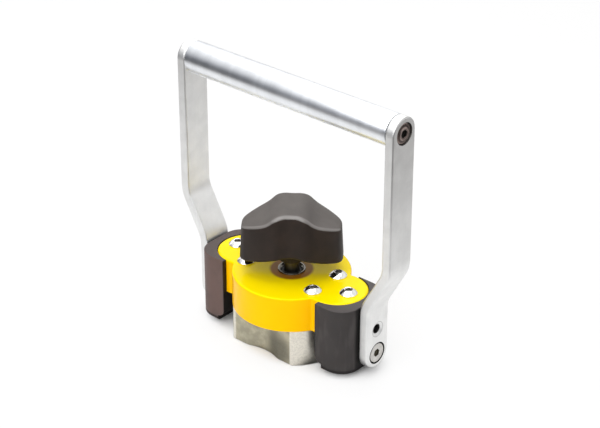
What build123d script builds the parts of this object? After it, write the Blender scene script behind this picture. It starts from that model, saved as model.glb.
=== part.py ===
from build123d import *

import os
from math import atan2, cos, hypot, isclose, radians, sin, sqrt, tan

# A switchable magnetic hand lifter, in millimetres.
# Origin at the middle of the pole face, +Z up, +X along the grip tube, -Y towards the front.

# Fits
seat_gap = 0.05
run_gap = 0.05
axial_gap = 0.1
air_gap = 0.3
drill_gap = 0.15

# Steel magnet body and what fills its bore
housing_radius = 46.4
housing_height = 31.5
flat_offset = 35.0
waist_half = 15.0
waist_depth = 3.3
waist_blend = 12.0
housing_edge = 0.6
bore_radius = 29.0
cap_recess = 0.3
cap_thickness = 2.2
slip_thickness = 0.5
carrier_thickness = 3.2
carrier_sink = 0.2

# Lid with its two lobes
lid_height = 29.0
lid_overhang = 0.4
lid_edge = 1.8
lobe_radius = 24.0
lobe_shift = 0.1
lobe_blend = 2.5

# Button head screws of the lid
thread_radius = 4.0
button_radius = 7.0
button_height = 4.4
button_rim = 0.9
button_hex = 5.0
button_hex_depth = 2.4
ring_screw_angle = 23.8
ring_screw_bite = 12.0
lobe_screw_shift = 10.9
lobe_screw_bite = 10.0
lobe_insert_wall = 1.1
screw_tip_room = 1.0

# Shaft, its bearing and its half-turn stop
shaft_radius = 6.0
shaft_flat_cut = 1.2
flange_radius = 18.0
flange_thickness = 6.0
flange_room = 0.8
thrust_thickness = 1.5
thrust_room = 1.5
bush_wall = 4.9
bush_proud = 1.0
bush_mouth = 1.6
seal_width = 2.2
seal_depth = 4.2
stop_inset = 3.5
stop_radius = 2.0
stop_reach = 4.0
stop_angle = 90.0
stop_travel = 180.0
drive_inset = 5.5
drive_radius = 2.5
drive_depth = 5.0
pin_floor = 1.0

# Winged knob
knob_angle = 37.9
knob_clear = 10.6
knob_length = 80.6
knob_depth = 56.4
knob_waist = 1.6
knob_waist_length = 20.8
knob_end_depth = 18.4
knob_bulge = 2.7
knob_hub_corner = 11.0
knob_end_corner = 13.0
knob_end_draft = 3.0
knob_side_draft = 8.0
knob_height = 46.4
knob_crown_flat = 3.9
knob_crown_radius = 16.0
knob_steep = 44.5
knob_hollow_radius = 25.0
knob_droop = 23.0
knob_end_rise = 0.3
knob_arch_radius = 42.0
knob_arch_slope = 18.2
knob_edge = 3.0
knob_foot_edge = 2.0
knob_wall = 3.2
knob_rib = 2.6
knob_rib_pitch = 19.0
boss_wall = 2.8
boss_clear = 10.2
insert_wall = 1.6
insert_length = 24.0
shaft_tip_room = 1.0
grub_radius = 2.0
grub_lift = 4.0
grub_sink = 0.4
grub_hex = 2.0
grub_hex_depth = 1.8

# End blocks
block_gap = 1.1
block_wall = 6.7
block_front_wall = 3.75
block_back_wall = 0.85
block_ground = 3.8
block_corner = 17.0
block_edge = 1.4
block_top_edge = 0.5
pocket_gap = 0.25
toe_depth = 6.5
toe_foot = 4.9

# Handle
grip_radius = 12.7
grip_wall = 2.1
arm_width = 25.4
arm_thickness = 7.94
arm_edge = 1.5
lifter_height = 224.6
pivot_height = 19.0
jog_start = 41.4
jog_rise = 36.0
jog_out = 19.85
bend_radius = 25.0

# Pivots, lock holes and grip screws of the handle
pivot_head_radius = 8.1
pivot_ring_gap = 0.9
pivot_head_height = 2.8
pivot_shoulder_radius = 5.0
pivot_thread_radius = 4.0
pivot_bite = 13.0
pivot_insert_wall = 2.5
pivot_bush_wall = 1.5
washer_radius = 11.0
washer_thickness = 1.0
disc_sink = 0.1
disc_edge = 0.5
disc_hex = 5.8
disc_hex_depth = 2.0
lock_lift = 21.4
lock_radius = 3.9
lock_sink_radius = 6.2
lock_sink_depth = 1.2
lock_thread_radius = 2.9
lock_insert_wall = 1.3
lock_floor = 2.0
grip_head_radius = 8.4
grip_ring_gap = 0.35
grip_head_height = 3.0
grip_head_round = 1.4
grip_dome_radius = 5.2
grip_step = 0.7
grip_thread_radius = 4.0
grip_bite = 14.0
plug_length = 18.0

# Radii and places that follow from what they fit
lid_radius = housing_radius + lid_overhang
lobe_offset = housing_radius + lobe_shift
lobe_screw_x = lobe_offset + lobe_screw_shift
lobe_insert_radius = thread_radius + seat_gap + lobe_insert_wall
ring_screw_circle = (bore_radius + housing_radius) / 2
shaft_flat = shaft_radius - shaft_flat_cut
bush_radius = shaft_radius + bush_wall
seal_radius = shaft_radius + seal_width
stop_circle = flange_radius - stop_inset
drive_circle = flange_radius - drive_inset
thrust_radius = stop_circle - stop_radius - thrust_room
insert_radius = shaft_radius + insert_wall
boss_radius = insert_radius + boss_wall
pivot_insert_radius = pivot_thread_radius + seat_gap + pivot_insert_wall
lock_insert_radius = lock_thread_radius + lock_insert_wall
lock_insert_length = block_wall - lock_floor
pivot_recess_radius = pivot_head_radius + pivot_ring_gap
pivot_recess_depth = pivot_head_height + disc_sink + axial_gap
grip_recess_radius = grip_head_radius + grip_ring_gap
grip_recess_depth = grip_head_height + disc_sink + axial_gap
flange_seat = flange_thickness - pin_floor

# Heights that follow from the stack
lid_top = housing_height + lid_height
magnet_room = housing_height - carrier_sink - carrier_thickness - axial_gap
magnet_thickness = (magnet_room - slip_thickness - cap_thickness - cap_recess) / 2
lower_magnet_z = cap_recess + cap_thickness
slip_z = lower_magnet_z + magnet_thickness
upper_magnet_z = slip_z + slip_thickness + axial_gap
carrier_z = upper_magnet_z + magnet_thickness
flange_z = carrier_z + carrier_thickness
flange_top = flange_z + flange_thickness
ceiling_z = flange_top + axial_gap + thrust_thickness
bush_top = lid_top + bush_proud
boss_z = lid_top + boss_clear
knob_z = lid_top + knob_clear
grip_z = lifter_height - arm_width / 2
handle_rise = grip_z - pivot_height

# Places along X that follow from the blocks
block_inner_x = housing_radius + block_gap
block_outer_x = lobe_offset + lobe_radius + pocket_gap + block_wall
arm_low_x = block_outer_x + washer_thickness + axial_gap
arm_low_out = arm_low_x + arm_thickness
arm_high_x = arm_low_x + jog_out
arm_high_out = arm_high_x + arm_thickness


def column(radius, z_low, z_high, x=0.0, y=0.0):
    """A round bar standing from one height to another."""
    bar = Cylinder(radius, z_high - z_low, align=(Align.CENTER, Align.CENTER, Align.MIN))
    return Pos(x, y, z_low) * bar


def flare(low_radius, high_radius, height):
    """A cone that opens upwards from the origin plane."""
    return Cone(low_radius, high_radius, height, align=(Align.CENTER, Align.CENTER, Align.MIN))


def ring(outer, inner, z_low, z_high):
    """A flat ring or sleeve about the vertical axis."""
    return column(outer, z_low, z_high) - column(inner, z_low, z_high)


def beam(radius, x_low, x_high, z):
    """A round bar lying along X in the middle plane."""
    bar = Cylinder(radius, x_high - x_low, align=(Align.CENTER, Align.CENTER, Align.MIN))
    return Pos(x_low, 0, z) * Rot(0, 90, 0) * bar


def hexagon_bar(across_flats, length):
    """A hexagon bar hanging down from the origin, for key sockets."""
    face = RegularPolygon(across_flats / 2, 6, major_radius=False)
    return extrude(face, -length)


def mirrored(part):
    """The same piece at the other end of the lifter."""
    return mirror(part, about=Plane.YZ)


def group(parts):
    """Several separate solids kept in one node."""
    return Compound(children=[solid for part in parts for solid in part.solids()])


# Steel magnet body


def housing_outline():
    """Round plan, cut flat front and back, with a shallow waist in the middle of each flat."""
    corner = sqrt(housing_radius**2 - flat_offset**2)
    right = ThreePointArc((corner, -flat_offset), (housing_radius, 0), (corner, flat_offset))
    left = mirror(right, about=Plane.YZ)
    flat = Line((waist_half, flat_offset), (corner, flat_offset))
    waist = ThreePointArc(
        (-waist_half, flat_offset), (0, flat_offset - waist_depth), (waist_half, flat_offset)
    )
    back = [flat, waist, mirror(flat, about=Plane.YZ)]
    front = [mirror(line, about=Plane.XZ) for line in back]
    plan = make_face(Curve() + [right, left] + back + front)
    return fillet(plan.vertices().filter_by(lambda v: isclose(abs(v.X), waist_half)), waist_blend)


def ring_screw_places():
    """The four screws that hold the lid to the magnet body, in the middle of its wall."""
    turn = radians(ring_screw_angle)
    x, y = ring_screw_circle * cos(turn), ring_screw_circle * sin(turn)
    return [(side_x * x, side_y * y) for side_x in (1, -1) for side_y in (1, -1)]


def pole_housing():
    body = extrude(housing_outline(), housing_height)
    rims = body.edges().filter_by(Plane.XY)
    body = chamfer(rims, housing_edge)
    body -= column(bore_radius, 0, housing_height)
    hole_floor = housing_height - ring_screw_bite - screw_tip_room
    for x, y in ring_screw_places():
        body -= column(thread_radius + seat_gap, hole_floor, housing_height, x, y)
    return body


def bore_disc(z_low, thickness, gap):
    """A disc that fills the bore of the magnet body."""
    return column(bore_radius - gap, z_low, z_low + thickness)


def drive_places():
    """The two pins that turn the carrier and the upper magnet."""
    turn = radians(stop_angle + 90)
    x, y = drive_circle * cos(turn), drive_circle * sin(turn)
    return [(x, y), (-x, -y)]


def upper_magnet():
    disc = bore_disc(upper_magnet_z, magnet_thickness, air_gap)
    for x, y in drive_places():
        disc -= column(drive_radius + seat_gap, carrier_z - drive_depth, carrier_z, x, y)
    return disc


def magnet_carrier():
    disc = bore_disc(carrier_z, carrier_thickness, air_gap)
    for x, y in drive_places():
        disc -= column(drive_radius + seat_gap, carrier_z, flange_z, x, y)
    return disc


def drive_pins():
    low = carrier_z - drive_depth
    high = flange_z + flange_seat
    return group([column(drive_radius, low, high, x, y) for x, y in drive_places()])


# Lid


def lid_outline():
    plan = Circle(lid_radius)
    plan += Pos(lobe_offset, 0) * Circle(lobe_radius)
    plan += Pos(-lobe_offset, 0) * Circle(lobe_radius)
    return fillet(plan.vertices().filter_by(lambda v: abs(v.Y) > lobe_radius / 2), lobe_blend)


def stop_groove():
    """The half-turn slot in the lid's ceiling for the stop pin."""
    path = CenterArc((0, 0), stop_circle, stop_angle - stop_travel, stop_travel)
    slot = SlotArc(path, 2 * (stop_radius + air_gap))
    return Pos(0, 0, ceiling_z) * extrude(slot, stop_reach + screw_tip_room)


def lid_casting():
    body = Pos(0, 0, housing_height) * extrude(lid_outline(), lid_height)
    top_rim = body.faces().sort_by(Axis.Z)[-1].edges()
    body = fillet(top_rim, lid_edge)
    body -= column(flange_radius + flange_room, housing_height, ceiling_z)
    body -= column(bush_radius + seat_gap, ceiling_z, lid_top)
    body -= stop_groove()
    for x, y in ring_screw_places() + lobe_screw_places():
        body -= column(thread_radius + drill_gap, housing_height, lid_top, x, y)
    return body


def lobe_screw_places():
    """The two screws that hold the lid's lobes to the end blocks."""
    return [(lobe_screw_x, 0), (-lobe_screw_x, 0)]


def button_screw(length):
    """A domed head on the origin plane, with its shank hanging below."""
    rise = button_height - button_rim
    dome_radius = (button_radius**2 + rise**2) / (2 * rise)
    dome = Pos(0, 0, button_height - dome_radius) * Sphere(dome_radius)
    head = column(button_radius, 0, button_height) & dome
    socket = Pos(0, 0, button_height) * hexagon_bar(button_hex, button_hex_depth)
    return head + column(thread_radius, -length, 0) - socket


def ring_screws():
    screw = button_screw(lid_height + ring_screw_bite)
    return group([Pos(x, y, lid_top) * screw for x, y in ring_screw_places()])


def lobe_screws():
    screw = button_screw(lid_height + lobe_screw_bite)
    return group([Pos(x, y, lid_top) * screw for x, y in lobe_screw_places()])


# Shaft, bearing and stop


def drive_shaft():
    seat = flange_top - flange_seat
    shaft = column(flange_radius, flange_z, flange_top)
    shaft += column(shaft_radius, flange_top, boss_z + insert_length - shaft_tip_room)
    cheek = Box(2 * shaft_radius, shaft_radius, insert_length, align=(Align.CENTER, Align.MIN, Align.MIN))
    for side in (0, 180):
        shaft -= Rot(0, 0, knob_angle + side) * Pos(0, shaft_flat, boss_z) * cheek
    for x, y in drive_places():
        shaft -= column(drive_radius + seat_gap, flange_z, flange_z + flange_seat, x, y)
    shaft -= Rot(0, 0, stop_angle) * column(stop_radius + seat_gap, seat, flange_top, stop_circle)
    return shaft


def stop_pin():
    low = flange_top - flange_seat
    return Rot(0, 0, stop_angle) * column(stop_radius, low, ceiling_z + stop_reach, stop_circle)


def shaft_bush():
    """A sleeve with the seal's seat and a flared mouth above it."""
    sleeve = ring(bush_radius, shaft_radius + run_gap, ceiling_z, bush_top)
    sleeve -= column(seal_radius, bush_top - seal_depth, bush_top)
    mouth = flare(seal_radius, seal_radius + bush_mouth, bush_mouth)
    return sleeve - Pos(0, 0, bush_top - bush_mouth) * mouth


def shaft_seal():
    low = bush_top - seal_depth
    return ring(seal_radius - seat_gap, shaft_radius + run_gap, low, bush_top - bush_mouth)


def thrust_washer():
    return ring(thrust_radius, shaft_radius + air_gap, ceiling_z - thrust_thickness, ceiling_z)


# Knob, drawn along X with its wings' undersides on the origin plane


def both_sides(lines):
    """The given lines and their mirror images across the knob's middle."""
    return lines + [mirror(line, about=Plane.YZ) for line in lines]


def crown_lines(top, reach):
    """Half of the knob's top, from its level crown through a hollow to a drooping wing, and the end."""
    steep = radians(knob_steep)
    droop = radians(knob_droop)
    turn = (steep + droop) / 2
    crown = knob_crown_radius
    hollow = knob_hollow_radius
    flat = knob_crown_flat
    x_steep = flat + crown * sin(steep)
    z_steep = top - crown * (1 - cos(steep))
    x_turn = x_steep + hollow * (sin(steep) - sin(turn))
    z_turn = z_steep - hollow * (cos(turn) - cos(steep))
    x_wing = x_steep + hollow * (sin(steep) - sin(droop))
    z_wing = z_steep - hollow * (cos(droop) - cos(steep))
    z_end = z_wing - (reach - x_wing) * tan(droop)
    x_crown = flat + crown * sin(steep / 2)
    z_crown = top - crown * (1 - cos(steep / 2))
    lines = [Line((0, top), (flat, top))]
    lines += [ThreePointArc((flat, top), (x_crown, z_crown), (x_steep, z_steep))]
    lines += [ThreePointArc((x_steep, z_steep), (x_turn, z_turn), (x_wing, z_wing))]
    return lines + [Line((x_wing, z_wing), (reach, z_end))], z_end


def arch_rise():
    """Height of the underside's middle that leaves the wings' ends just above the origin plane."""
    slope = radians(knob_arch_slope)
    straight = knob_length / 2 - knob_arch_radius * sin(slope)
    return knob_end_rise + straight * tan(slope) + knob_arch_radius * (1 - cos(slope))


def arch_lines(top, reach):
    """Half of the knob's underside: an arc in the middle, then a straight slope to the wing's end."""
    slope = radians(knob_arch_slope)
    x_slope = knob_arch_radius * sin(slope)
    z_slope = top - knob_arch_radius * (1 - cos(slope))
    z_end = z_slope - (reach - x_slope) * tan(slope)
    x_arc = knob_arch_radius * sin(slope / 2)
    z_arc = top - knob_arch_radius * (1 - cos(slope / 2))
    lines = [ThreePointArc((0, top), (x_arc, z_arc), (x_slope, z_slope))]
    return lines + [Line((x_slope, z_slope), (reach, z_end))], z_end


def level_lines(height, reach):
    """Half of a level edge."""
    return [Line((0, height), (reach, height))], height


def knob_slab(upper, lower, reach):
    """The knob's side view between an upper and a lower edge, as a slab as thick as the knob."""
    lines = upper[0] + lower[0] + [Line((reach, upper[1]), (reach, lower[1]))]
    return extrude(Plane.XZ * make_face(Curve() + both_sides(lines)), knob_depth, both=True)


def knob_plan(inset, height):
    """The plan at a height: waisted in the middle, bowed to narrow ends, less a wall and the draft."""
    hub = knob_waist_length / 2
    half = knob_depth / 2 - inset - height * tan(radians(knob_side_draft))
    x = knob_length / 2 - inset - height * tan(radians(knob_end_draft))
    end = knob_end_depth / 2 - inset - height * tan(radians(knob_end_draft))
    chord = hypot(x - hub, half - end)
    bow_x = (hub + x) / 2 + knob_bulge * (half - end) / chord
    bow_y = (half + end) / 2 + knob_bulge * (x - hub) / chord
    flank = ThreePointArc((hub, half), (bow_x, bow_y), (x, end))
    waist = ThreePointArc((-hub, half), (0, half - knob_waist), (hub, half))
    back = both_sides([flank]) + [waist]
    front = [mirror(line, about=Plane.XZ) for line in back]
    ends = both_sides([Line((x, end), (x, -end))])
    plan = make_face(Curve() + back + front + ends)
    hub_corners = plan.vertices().filter_by(lambda v: isclose(abs(v.X), hub))
    plan = fillet(hub_corners, knob_hub_corner)
    end_corners = plan.vertices().filter_by(lambda v: isclose(abs(v.X), x))
    return fillet(end_corners, knob_end_corner * 2 * end / knob_end_depth)


def knob_block(inset):
    """The knob's plan drawn up with draft."""
    return loft([knob_plan(inset, 0), Pos(0, 0, knob_height) * knob_plan(inset, knob_height)], ruled=True)


def knob_pockets():
    """What is cored out of the knob from below, between its wall, its boss and its ribs."""
    top = knob_height - knob_wall
    reach = knob_length
    pockets = knob_block(knob_wall) & knob_slab(crown_lines(top, reach), level_lines(0, reach), reach)
    pockets -= column(boss_radius, 0, top)
    standing = (Align.CENTER, Align.CENTER, Align.MIN)
    pockets -= Box(knob_length, knob_rib, top, align=standing)
    cross_rib = Box(knob_rib, knob_depth, top, align=standing)
    for x in (-knob_rib_pitch, 0, knob_rib_pitch):
        pockets -= Pos(x, 0, 0) * cross_rib
    return pockets


def rim_edges(body, side):
    """The edges between a body's walls and its faces that look up, side 1, or down, side -1."""
    ends = body.faces().filter_by(lambda f: side * f.normal_at().Z > 0.5)
    walls = body.faces().filter_by(lambda f: abs(f.normal_at().Z) < 0.5)
    return [e for e in ends.edges() if any(e.is_same(w) for w in walls.edges())]


def knob_form():
    """The knob's outer form, with its upper and lower rims rounded."""
    reach = knob_length
    underside = arch_lines(arch_rise(), reach)
    body = knob_block(0) & knob_slab(crown_lines(knob_height, reach), underside, reach)
    body = fillet(rim_edges(body, 1), knob_edge)
    return fillet(rim_edges(body, -1), knob_foot_edge)


def in_knob(part):
    """Turns a piece drawn along X to the knob's angle."""
    return Rot(0, 0, knob_angle) * part


def grub_hole():
    """A cross hole from the shaft's axis out through the back of the boss."""
    hole = Cylinder(grub_radius + seat_gap, boss_radius, align=(Align.CENTER, Align.CENTER, Align.MIN))
    return Pos(0, 0, boss_z + grub_lift) * Rot(-90, 0, 0) * hole


def knob():
    body = Pos(0, 0, knob_z) * (knob_form() - knob_pockets())
    body += column(boss_radius, boss_z, knob_z + knob_height - knob_wall)
    body -= column(insert_radius + seat_gap, boss_z, boss_z + insert_length)
    return in_knob(body - grub_hole())


def knob_insert():
    high = boss_z + insert_length
    bore = column(shaft_radius + seat_gap, boss_z, high)
    across = 2 * (shaft_flat + seat_gap)
    flats = Box(2 * insert_radius, across, insert_length, align=(Align.CENTER, Align.CENTER, Align.MIN))
    bore &= Pos(0, 0, boss_z) * flats
    return in_knob(column(insert_radius, boss_z, high) - bore - grub_hole())


def grub_screw():
    length = boss_radius - grub_sink - shaft_flat - seat_gap
    body = column(grub_radius, -length, 0) - hexagon_bar(grub_hex, grub_hex_depth)
    place = Pos(0, boss_radius - grub_sink, boss_z + grub_lift)
    return in_knob(place * Rot(-90, 0, 0) * body)


# End blocks


def toe_face():
    """Side view of what is cut away under the right block: a rounded corner above a narrower foot."""
    x_foot = block_inner_x + toe_depth
    z_foot = block_ground + toe_foot
    z_round = z_foot + toe_depth
    bow = toe_depth * sqrt(0.5)
    foot = Polyline(
        (block_inner_x, z_round), (block_inner_x, block_ground), (x_foot, block_ground), (x_foot, z_foot)
    )
    round_corner = ThreePointArc((x_foot, z_foot), (x_foot - bow, z_round - bow), (block_inner_x, z_round))
    return make_face(Curve() + [foot, round_corner])


def end_block():
    """The right block: wrapped round the lobe, flat outside, cut back at its toe."""
    front = lobe_radius + pocket_gap + block_front_wall
    back = lobe_radius + pocket_gap + block_back_wall
    length = block_outer_x - block_inner_x
    plan = Pos(block_inner_x, -front) * Rectangle(length, front + back, align=(Align.MIN, Align.MIN))
    plan = fillet(plan.vertices().group_by(Axis.X)[-1], block_corner)
    body = Pos(0, 0, block_ground) * extrude(plan, lid_top - block_ground)
    body = chamfer(body.faces().sort_by(Axis.Z)[0].edges(), block_edge)
    body = chamfer(body.faces().sort_by(Axis.Z)[-1].edges(), block_top_edge)
    body -= extrude(Plane.XZ * toe_face(), front, both=True)
    body -= column(lobe_radius + pocket_gap, housing_height, lid_top, lobe_offset)
    insert_floor = housing_height - lobe_screw_bite - screw_tip_room
    body -= column(lobe_insert_radius + seat_gap, insert_floor, housing_height, lobe_screw_x)
    deep = block_outer_x - pivot_bite - screw_tip_room
    body -= beam(pivot_insert_radius + seat_gap, deep, block_outer_x, pivot_height)
    lock_deep = block_outer_x - lock_insert_length
    body -= beam(lock_insert_radius + seat_gap, lock_deep, block_outer_x, pivot_height + lock_lift)
    return body


def lobe_inserts():
    low = housing_height - lobe_screw_bite - screw_tip_room
    sleeve = ring(lobe_insert_radius, thread_radius + seat_gap, low, housing_height)
    return group([Pos(x, y, 0) * sleeve for x, y in lobe_screw_places()])


def cross_sleeve(outer, inner, x_low, x_high, z):
    """A sleeve or washer lying along X at the right end, and its twin at the left."""
    sleeve = beam(outer, x_low, x_high, z) - beam(inner, x_low, x_high, z)
    return group([sleeve, mirrored(sleeve)])


def pivot_inserts():
    low = block_outer_x - pivot_bite - screw_tip_room
    bore = pivot_thread_radius + seat_gap
    return cross_sleeve(pivot_insert_radius, bore, low, block_outer_x, pivot_height)


def lock_inserts():
    low = block_outer_x - lock_insert_length
    return cross_sleeve(
        lock_insert_radius, lock_thread_radius, low, block_outer_x, pivot_height + lock_lift
    )


def friction_washers():
    high = block_outer_x + washer_thickness
    bore = pivot_shoulder_radius + seat_gap
    return cross_sleeve(washer_radius, bore, block_outer_x, high, pivot_height)


# Handle


def arm_profile():
    """Side view of the cranked flat bar, with both bends."""
    low = pivot_height - arm_width / 2
    high = grip_z + arm_width / 2
    jog_z = pivot_height + jog_start
    jog_top = jog_z + jog_rise
    shift = arm_thickness * tan(atan2(arm_high_out - arm_low_out, jog_rise) / 2)
    tight = bend_radius - arm_thickness / 2
    wide = bend_radius + arm_thickness / 2
    outside = FilletPolyline(
        (arm_low_out, low),
        (arm_low_out, jog_z),
        (arm_high_out, jog_top),
        (arm_high_out, high),
        radius=[tight, wide],
    )
    inside = FilletPolyline(
        (arm_low_x, low),
        (arm_low_x, jog_z + shift),
        (arm_high_x, jog_top + shift),
        (arm_high_x, high),
        radius=[wide, tight],
    )
    ends = [Line((arm_low_out, low), (arm_low_x, low))]
    ends += [Line((arm_high_out, high), (arm_high_x, high))]
    return make_face(Curve() + [outside, inside] + ends)


def is_long_edge(edge):
    """True for the bar's outline edges, and not for the seams across its bends and ends."""
    straight = edge.geom_type == GeomType.LINE
    return not straight or abs((edge @ 1 - edge @ 0).Z) > arm_thickness


def arm():
    """The right arm."""
    bar = extrude(Plane.XZ * arm_profile(), arm_width / 2, both=True)
    outline = Pos(0, handle_rise / 2) * SlotCenterToCenter(handle_rise, arm_width, 90)
    bar &= Pos(0, 0, pivot_height) * extrude(Plane.YZ * outline, arm_high_out + arm_width)
    bar = fillet(bar.edges().filter_by(is_long_edge), arm_edge)
    bush_seat = pivot_shoulder_radius + run_gap + pivot_bush_wall + seat_gap
    bar -= beam(bush_seat, arm_low_x, arm_low_out, pivot_height)
    bar -= beam(pivot_recess_radius, arm_low_out - pivot_recess_depth, arm_low_out, pivot_height)
    lock_z = pivot_height + lock_lift
    bar -= beam(lock_radius, arm_low_x, arm_low_out, lock_z)
    sink = flare(lock_radius, lock_sink_radius, lock_sink_depth)
    bar -= Pos(arm_low_out - lock_sink_depth, 0, lock_z) * Rot(0, 90, 0) * sink
    bar -= beam(grip_thread_radius + drill_gap, arm_high_x, arm_high_out, grip_z)
    bar -= beam(grip_recess_radius, arm_high_out - grip_recess_depth, arm_high_out, grip_z)
    return bar


def pivot_bushes():
    bore = pivot_shoulder_radius + run_gap
    high = arm_low_out - pivot_recess_depth
    return cross_sleeve(bore + pivot_bush_wall, bore, arm_low_x, high, pivot_height)


def key_socket():
    """The hexagon socket of a flush head, sunk from the origin along -Z."""
    return hexagon_bar(disc_hex, disc_hex_depth)


def pivot_screw():
    """The right pivot screw: flush disc head, shoulder through the arm, thread in the block."""
    face = arm_low_out - disc_sink
    head = Pos(0, 0, -pivot_head_height) * Cylinder(
        pivot_head_radius, pivot_head_height, align=(Align.CENTER, Align.CENTER, Align.MIN)
    )
    head = chamfer(head.faces().sort_by(Axis.Z)[-1].edges(), disc_edge)
    shoulder = column(pivot_shoulder_radius, block_outer_x - face, -pivot_head_height)
    thread = column(pivot_thread_radius, block_outer_x - face - pivot_bite, block_outer_x - face)
    screw = head + shoulder + thread - key_socket()
    return Pos(face, 0, pivot_height) * Rot(0, 90, 0) * screw


def grip_screw():
    """The right grip screw: a stepped flush head, with its thread in the tube's plug."""
    face = arm_high_out - disc_sink
    step_z = -grip_step
    flange = column(grip_head_radius, -grip_head_height, step_z)
    flange = fillet(flange.faces().sort_by(Axis.Z)[-1].edges(), grip_head_round)
    dome = column(grip_dome_radius, step_z, 0)
    dome = fillet(dome.faces().sort_by(Axis.Z)[-1].edges(), disc_edge)
    shank_low = arm_high_x - grip_bite - face
    shank = column(grip_thread_radius, shank_low, -grip_head_height)
    screw = flange + dome + shank - key_socket()
    return Pos(face, 0, grip_z) * Rot(0, 90, 0) * screw


def grip_tube():
    tube = beam(grip_radius, -arm_high_x, arm_high_x, grip_z)
    return tube - beam(grip_radius - grip_wall, -arm_high_x, arm_high_x, grip_z)


def tube_plugs():
    outer = grip_radius - grip_wall - seat_gap
    bore = grip_thread_radius + seat_gap
    return cross_sleeve(outer, bore, arm_high_x - plug_length, arm_high_x, grip_z)


right_block = end_block()
right_arm = arm()
right_pivot = pivot_screw()
right_grip = grip_screw()

nodes = {
    "pole_housing": pole_housing(),
    "bottom_cap": bore_disc(cap_recess, cap_thickness, seat_gap),
    "lower_magnet": bore_disc(lower_magnet_z, magnet_thickness, seat_gap),
    "slip_disc": bore_disc(slip_z, slip_thickness, seat_gap),
    "upper_magnet": upper_magnet(),
    "magnet_carrier": magnet_carrier(),
    "drive_pins": drive_pins(),
    "drive_shaft": drive_shaft(),
    "stop_pin": stop_pin(),
    "thrust_washer": thrust_washer(),
    "shaft_bush": shaft_bush(),
    "shaft_seal": shaft_seal(),
    "lid_casting": lid_casting(),
    "ring_screws": ring_screws(),
    "lobe_screws": lobe_screws(),
    "knob": knob(),
    "knob_insert": knob_insert(),
    "grub_screw": grub_screw(),
    "right_end_block": right_block,
    "left_end_block": mirrored(right_block),
    "lobe_inserts": lobe_inserts(),
    "pivot_inserts": pivot_inserts(),
    "lock_inserts": lock_inserts(),
    "friction_washers": friction_washers(),
    "right_arm": right_arm,
    "left_arm": mirrored(right_arm),
    "pivot_bushes": pivot_bushes(),
    "right_pivot_screw": right_pivot,
    "left_pivot_screw": mirrored(right_pivot),
    "grip_tube": grip_tube(),
    "tube_plugs": tube_plugs(),
    "grip_screws": group([right_grip, mirrored(right_grip)]),
}

os.makedirs("parts", exist_ok=True)
for name, shape in nodes.items():
    export_step(shape, os.path.join("parts", name + ".step"))
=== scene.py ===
from math import atan, cos, pi, radians, sin, sqrt, tau

import bmesh
import bpy
from bmesh.types import BMEdge, BMFace, BMVert
from bpy.props import FloatProperty, FloatVectorProperty, IntProperty, PointerProperty
from mathutils import Matrix, Vector


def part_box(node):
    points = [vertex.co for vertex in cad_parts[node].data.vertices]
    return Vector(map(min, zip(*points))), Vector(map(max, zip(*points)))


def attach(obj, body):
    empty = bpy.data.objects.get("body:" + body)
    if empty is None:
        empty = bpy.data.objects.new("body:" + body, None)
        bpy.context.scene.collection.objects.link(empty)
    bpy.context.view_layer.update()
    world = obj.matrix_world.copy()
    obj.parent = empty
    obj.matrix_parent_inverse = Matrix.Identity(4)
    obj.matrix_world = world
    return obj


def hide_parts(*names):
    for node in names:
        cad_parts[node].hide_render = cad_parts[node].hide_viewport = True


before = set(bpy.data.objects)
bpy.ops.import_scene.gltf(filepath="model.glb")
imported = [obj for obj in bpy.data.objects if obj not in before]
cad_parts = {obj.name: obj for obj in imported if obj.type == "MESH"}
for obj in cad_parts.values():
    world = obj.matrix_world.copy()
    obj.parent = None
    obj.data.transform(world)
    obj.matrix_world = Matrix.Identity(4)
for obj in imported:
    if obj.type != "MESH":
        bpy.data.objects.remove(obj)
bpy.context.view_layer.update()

# Looks of a magnetic hand lifter: finishes for its solids, and modelled screws, grip tube, bush and seal.

bl_info = {
    "name": "Magnetic hand lifter looks",
    "version": (1, 0, 0),
    "blender": (4, 5, 0),
    "location": "3D View > Sidebar > Lifter",
    "description": "Finishes, screws, grip and stage of a magnetic hand lifter",
    "category": "Object",
}


def middle_height(box):
    """Height of a box's middle."""
    return (box[0].z + box[1].z) / 2


# Places on the lifter, in metres

MM = 0.001
BODY_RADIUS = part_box("pole_housing")[1].x
BLOCK_LOW, BLOCK_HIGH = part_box("right_end_block")
LID_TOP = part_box("lid_casting")[1].z
RING_LOW, RING_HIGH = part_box("ring_screws")
LOBE_LOW, LOBE_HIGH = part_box("lobe_screws")
LOBE_SCREW_X = 57.4 * MM
BUSH_LOW, BUSH_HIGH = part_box("shaft_bush")
SEAL_LOW, SEAL_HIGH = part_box("shaft_seal")
SHAFT_BORE = 6.05 * MM
# Radius of the painted shadow of the knob on the lid round the shaft
KNOB_SHADOW_RADIUS = 15.5 * MM
# Middle of a painted dark reflection on the steel's front flat
DARK_REFLECTION_PLACE = (16 * MM, -34 * MM, 10 * MM)
KNOB_ANGLE = radians(37.9)
KNOB_SIDE = (-sin(KNOB_ANGLE), cos(KNOB_ANGLE), 0)
GRIP_LOW, GRIP_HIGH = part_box("grip_tube")
GRIP_Z = middle_height(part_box("grip_tube"))
GRIP_SCREW_LOW, GRIP_SCREW_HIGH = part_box("grip_screws")
GRIP_SCREW_BITE = 14 * MM
PIVOT_LOW, PIVOT_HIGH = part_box("right_pivot_screw")
PIVOT_Z = middle_height(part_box("right_pivot_screw"))
PIVOT_THREAD = 13 * MM
LOCK_Z = middle_height(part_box("lock_inserts"))
LOCK_SINK_RADIUS = 6.2 * MM

# Holes in an arm: height, radius and the grey of the painted shade on their walls
ARM_HOLES = ((LOCK_Z, 4.0 * MM, 0.12), (PIVOT_Z, 9.1 * MM, 0.018), (GRIP_Z, 8.85 * MM, 0.25))
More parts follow.
